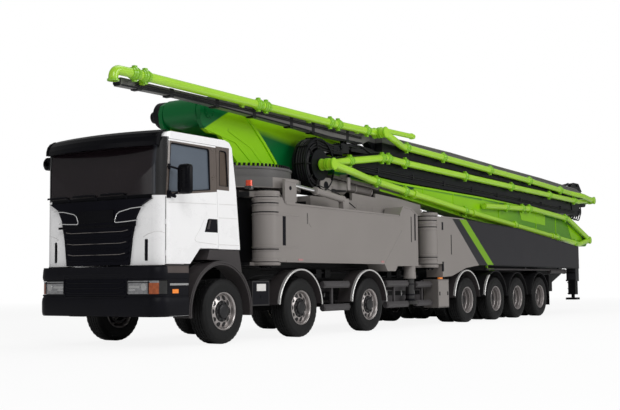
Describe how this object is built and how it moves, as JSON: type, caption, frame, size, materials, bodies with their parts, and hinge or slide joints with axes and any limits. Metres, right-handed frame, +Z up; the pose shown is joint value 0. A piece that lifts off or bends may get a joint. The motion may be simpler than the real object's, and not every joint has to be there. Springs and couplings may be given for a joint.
{
  "type": "concrete pump truck",
  "caption": "Concrete pump truck with a folded placing boom, swing-out outriggers with jacks, a white cab-over cab and lime green boom.",
  "frame": {"origin": "on the ground under the middle of the bounding box", "axes": "+Z up, the truck faces -Y, its left side is +X"},
  "size_m": [3.06, 20.4398, 4.0248],
  "materials": {
    "cab_white": "gloss white cab paint",
    "body_grey": "satin warm grey structure paint",
    "boom_green": "gloss lime green boom paint",
    "boom_dark": "satin near-black boom paint",
    "pipe_green": "light lime delivery pipe paint",
    "chassis_black": "semi-gloss black chassis paint",
    "black_plastic": "textured black trim",
    "tyre_rubber": "black tyre rubber",
    "window_glass": "tinted safety glass",
    "lamp_lens": "clear and amber lamp lenses",
    "seat_fabric": "dark cab trim",
    "bright_metal": "bright steel pins and jack tubes"
  },
  "bodies": {
    "chassis": {"chassis_frame": "chassis_black", "running_gear": "chassis_black", "cab_shell": "cab_white", "cab_glass": "window_glass", "cab_interior": "seat_fabric", "sun_visor": "black_plastic", "grille": "black_plastic", "bumper": "black_plastic", "lamps": "lamp_lens", "fenders": "chassis_black", "side_equipment": "body_grey", "outrigger_frame": "body_grey", "slewing_ring": "body_grey", "hopper": "chassis_black"},
    "door_left": {"door_left": "cab_white", "door_glass_left": "window_glass", "mirror_left": "black_plastic"},
    "door_right": {"door_right": "cab_white", "door_glass_right": "window_glass", "mirror_right": "black_plastic"},
    "knuckle_1_left": {"knuckle_1_left": "chassis_black"},
    "knuckle_1_right": {"knuckle_1_right": "chassis_black"},
    "knuckle_2_left": {"knuckle_2_left": "chassis_black"},
    "knuckle_2_right": {"knuckle_2_right": "chassis_black"},
    "knuckle_3_left": {"knuckle_3_left": "chassis_black"},
    "knuckle_3_right": {"knuckle_3_right": "chassis_black"},
    "wheel_1_left": {"wheel_1_left": "tyre_rubber"},
    "wheel_1_right": {"wheel_1_right": "tyre_rubber"},
    "wheel_2_left": {"wheel_2_left": "tyre_rubber"},
    "wheel_2_right": {"wheel_2_right": "tyre_rubber"},
    "wheel_3_left": {"wheel_3_left": "tyre_rubber"},
    "wheel_3_right": {"wheel_3_right": "tyre_rubber"},
    "wheel_4_left": {"wheel_4_left": "tyre_rubber"},
    "wheel_4_right": {"wheel_4_right": "tyre_rubber"},
    "wheel_5_left": {"wheel_5_left": "tyre_rubber"},
    "wheel_5_right": {"wheel_5_right": "tyre_rubber"},
    "wheel_6_left": {"wheel_6_left": "tyre_rubber"},
    "wheel_6_right": {"wheel_6_right": "tyre_rubber"},
    "wheel_7_left": {"wheel_7_left": "tyre_rubber"},
    "wheel_7_right": {"wheel_7_right": "tyre_rubber"},
    "turret": {"turret": "boom_green"},
    "boom_1": {"boom_1": "boom_green", "boom_pipe_1": "pipe_green"},
    "boom_2": {"boom_2": "boom_green", "boom_pipe_2": "pipe_green"},
    "boom_3": {"boom_3": "boom_dark", "boom_pipe_3": "pipe_green"},
    "boom_4": {"boom_4": "boom_dark", "boom_pipe_4": "pipe_green"},
    "boom_5": {"boom_5": "boom_dark", "boom_pipe_5": "pipe_green"},
    "front_leg_left": {"front_leg_left": "body_grey"},
    "rear_leg_left": {"rear_leg_left": "body_grey"},
    "front_jack_left": {"front_jack_left": "bright_metal"},
    "rear_jack_left": {"rear_jack_left": "chassis_black"},
    "front_leg_right": {"front_leg_right": "body_grey"},
    "rear_leg_right": {"rear_leg_right": "body_grey"},
    "front_jack_right": {"front_jack_right": "bright_metal"},
    "rear_jack_right": {"rear_jack_right": "chassis_black"}
  },
  "joints": [
    {"name": "door_left_hinge", "type": "hinge", "parent": "chassis", "child": "door_left", "pos_m": [1.2, -9.365, 1.6], "axis": [0, 0, -1], "range_deg": [0, 70]},
    {"name": "door_right_hinge", "type": "hinge", "parent": "chassis", "child": "door_right", "pos_m": [-1.2, -9.365, 1.6], "axis": [0, 0, 1], "range_deg": [0, 70]},
    {"name": "steer_1_left", "type": "hinge", "parent": "chassis", "child": "knuckle_1_left", "pos_m": [0.9, -8.09, 0.49], "axis": [0, 0, 1], "range_deg": [-40, 40]},
    {"name": "steer_1_right", "type": "hinge", "parent": "chassis", "child": "knuckle_1_right", "pos_m": [-0.9, -8.09, 0.49], "axis": [0, 0, 1], "range_deg": [-40, 40]},
    {"name": "steer_2_left", "type": "hinge", "parent": "chassis", "child": "knuckle_2_left", "pos_m": [0.9, -5.98, 0.49], "axis": [0, 0, 1], "range_deg": [-30, 30]},
    {"name": "steer_2_right", "type": "hinge", "parent": "chassis", "child": "knuckle_2_right", "pos_m": [-0.9, -5.98, 0.49], "axis": [0, 0, 1], "range_deg": [-30, 30]},
    {"name": "steer_3_left", "type": "hinge", "parent": "chassis", "child": "knuckle_3_left", "pos_m": [0.9, -3.68, 0.49], "axis": [0, 0, 1], "range_deg": [-22, 22]},
    {"name": "steer_3_right", "type": "hinge", "parent": "chassis", "child": "knuckle_3_right", "pos_m": [-0.9, -3.68, 0.49], "axis": [0, 0, 1], "range_deg": [-22, 22]},
    {"name": "wheel_1_left_spin", "type": "hinge", "parent": "knuckle_1_left", "child": "wheel_1_left", "pos_m": [1.095, -8.09, 0.501], "axis": [1, 0, 0], "continuous": true},
    {"name": "wheel_1_right_spin", "type": "hinge", "parent": "knuckle_1_right", "child": "wheel_1_right", "pos_m": [-1.095, -8.09, 0.501], "axis": [1, 0, 0], "continuous": true},
    {"name": "wheel_2_left_spin", "type": "hinge", "parent": "knuckle_2_left", "child": "wheel_2_left", "pos_m": [1.095, -5.98, 0.501], "axis": [1, 0, 0], "continuous": true},
    {"name": "wheel_2_right_spin", "type": "hinge", "parent": "knuckle_2_right", "child": "wheel_2_right", "pos_m": [-1.095, -5.98, 0.501], "axis": [1, 0, 0], "continuous": true},
    {"name": "wheel_3_left_spin", "type": "hinge", "parent": "knuckle_3_left", "child": "wheel_3_left", "pos_m": [1.095, -3.68, 0.501], "axis": [1, 0, 0], "continuous": true},
    {"name": "wheel_3_right_spin", "type": "hinge", "parent": "knuckle_3_right", "child": "wheel_3_right", "pos_m": [-1.095, -3.68, 0.501], "axis": [1, 0, 0], "continuous": true},
    {"name": "wheel_4_left_spin", "type": "hinge", "parent": "chassis", "child": "wheel_4_left", "pos_m": [1.095, 0.65, 0.501], "axis": [1, 0, 0], "continuous": true},
    {"name": "wheel_4_right_spin", "type": "hinge", "parent": "chassis", "child": "wheel_4_right", "pos_m": [-1.095, 0.65, 0.501], "axis": [1, 0, 0], "continuous": true},
    {"name": "wheel_5_left_spin", "type": "hinge", "parent": "chassis", "child": "wheel_5_left", "pos_m": [1.095, 2.23, 0.501], "axis": [1, 0, 0], "continuous": true},
    {"name": "wheel_5_right_spin", "type": "hinge", "parent": "chassis", "child": "wheel_5_right", "pos_m": [-1.095, 2.23, 0.501], "axis": [1, 0, 0], "continuous": true},
    {"name": "wheel_6_left_spin", "type": "hinge", "parent": "chassis", "child": "wheel_6_left", "pos_m": [1.095, 3.56, 0.501], "axis": [1, 0, 0], "continuous": true},
    {"name": "wheel_6_right_spin", "type": "hinge", "parent": "chassis", "child": "wheel_6_right", "pos_m": [-1.095, 3.56, 0.501], "axis": [1, 0, 0], "continuous": true},
    {"name": "wheel_7_left_spin", "type": "hinge", "parent": "chassis", "child": "wheel_7_left", "pos_m": [1.095, 5.055, 0.501], "axis": [1, 0, 0], "continuous": true},
    {"name": "wheel_7_right_spin", "type": "hinge", "parent": "chassis", "child": "wheel_7_right", "pos_m": [-1.095, 5.055, 0.501], "axis": [1, 0, 0], "continuous": true},
    {"name": "turret_slew", "type": "hinge", "parent": "chassis", "child": "turret", "pos_m": [0, -6.14, 2.9], "axis": [0, 0, 1], "range_deg": [-100, 100]},
    {"name": "boom_1_lift", "type": "hinge", "parent": "turret", "child": "boom_1", "pos_m": [0, -7.47, 3.76], "axis": [1, 0, 0], "range_deg": [0, 85]},
    {"name": "boom_2_unfold", "type": "hinge", "parent": "boom_1", "child": "boom_2", "pos_m": [0, 10.01, 2.11], "axis": [1, 0, 0], "range_deg": [-170, 0]},
    {"name": "boom_3_unfold", "type": "hinge", "parent": "boom_2", "child": "boom_3", "pos_m": [0, -4.69, 3.09], "axis": [1, 0, 0], "range_deg": [0, 170]},
    {"name": "boom_4_unfold", "type": "hinge", "parent": "boom_3", "child": "boom_4", "pos_m": [0, 10.03, 3.305], "axis": [1, 0, 0], "range_deg": [-170, 0]},
    {"name": "boom_5_unfold", "type": "hinge", "parent": "boom_4", "child": "boom_5", "pos_m": [0, -2.74, 3.9], "axis": [1, 0, 0], "range_deg": [-165, 0]},
    {"name": "front_leg_left_swing", "type": "hinge", "parent": "chassis", "child": "front_leg_left", "pos_m": [1.01, -6.672, 1.8], "axis": [0, 0, -1], "range_deg": [0, 120]},
    {"name": "rear_leg_left_swing", "type": "hinge", "parent": "chassis", "child": "rear_leg_left", "pos_m": [1.03, -0.824, 1.8], "axis": [0, 0, -1], "range_deg": [0, 85]},
    {"name": "front_jack_left_drop", "type": "slide", "parent": "front_leg_left", "child": "front_jack_left", "axis": [0, 0, -1], "range_m": [0, 0.46]},
    {"name": "rear_jack_left_drop", "type": "slide", "parent": "rear_leg_left", "child": "rear_jack_left", "axis": [0, 0, -1], "range_m": [0, 0.36]},
    {"name": "front_leg_right_swing", "type": "hinge", "parent": "chassis", "child": "front_leg_right", "pos_m": [-1.01, -6.672, 1.8], "axis": [0, 0, 1], "range_deg": [0, 120]},
    {"name": "rear_leg_right_swing", "type": "hinge", "parent": "chassis", "child": "rear_leg_right", "pos_m": [-1.03, -0.824, 1.8], "axis": [0, 0, 1], "range_deg": [0, 85]},
    {"name": "front_jack_right_drop", "type": "slide", "parent": "front_leg_right", "child": "front_jack_right", "axis": [0, 0, -1], "range_m": [0, 0.46]},
    {"name": "rear_jack_right_drop", "type": "slide", "parent": "rear_leg_right", "child": "rear_jack_right", "axis": [0, 0, -1], "range_m": [0, 0.36]}
  ],
  "couplings": [
    {"joint": "steer_1_right", "follows": "steer_1_left", "ratio": 1},
    {"joint": "steer_2_left", "follows": "steer_1_left", "ratio": 0.7},
    {"joint": "steer_2_right", "follows": "steer_1_left", "ratio": 0.7},
    {"joint": "steer_3_left", "follows": "steer_1_left", "ratio": 0.5},
    {"joint": "steer_3_right", "follows": "steer_1_left", "ratio": 0.5},
    {"joint": "boom_2_unfold", "follows": "boom_1_lift", "ratio": -2},
    {"joint": "boom_4_unfold", "follows": "boom_3_unfold", "ratio": -1}
  ]
}
